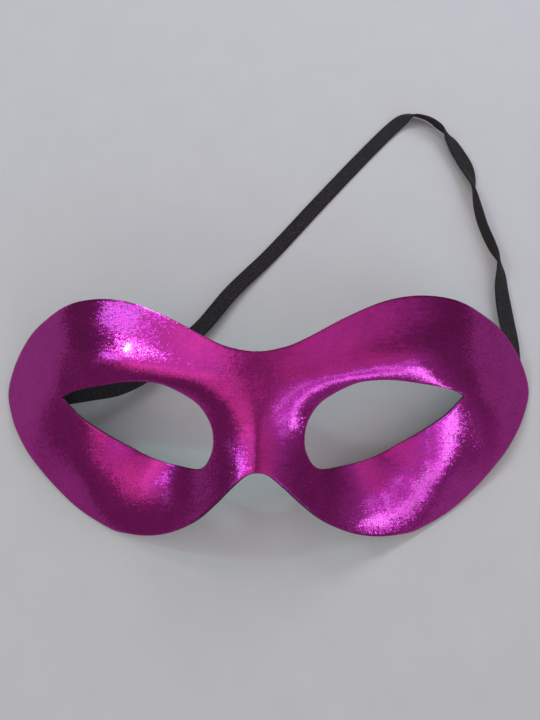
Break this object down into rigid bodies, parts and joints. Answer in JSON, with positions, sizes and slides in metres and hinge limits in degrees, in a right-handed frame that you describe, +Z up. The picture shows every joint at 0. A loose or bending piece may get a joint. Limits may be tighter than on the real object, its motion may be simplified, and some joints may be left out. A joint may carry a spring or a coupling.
{
  "type": "masquerade mask",
  "caption": "Half-face masquerade mask with almond eye holes and flared temples, covered in foil cloth, with a flat elastic band at the back, lying face up.",
  "frame": {"origin": "on the surface the mask lies on, under the middle of the mask's outline without its band", "axes": "+X across the face towards the viewer's right, +Y from the cheeks to the brow, +Z up out of the front of the mask"},
  "size_m": [0.1754, 0.1657, 0.0427],
  "materials": {
    "shell": "matte, dark moulded sheet",
    "cloth": "metallic magenta foil on a fine knit",
    "band": "matte black woven elastic"
  },
  "bodies": {
    "root": {"mask_shell": "shell", "foil_cloth": "cloth", "elastic_band": "band"}
  },
  "joints": []
}
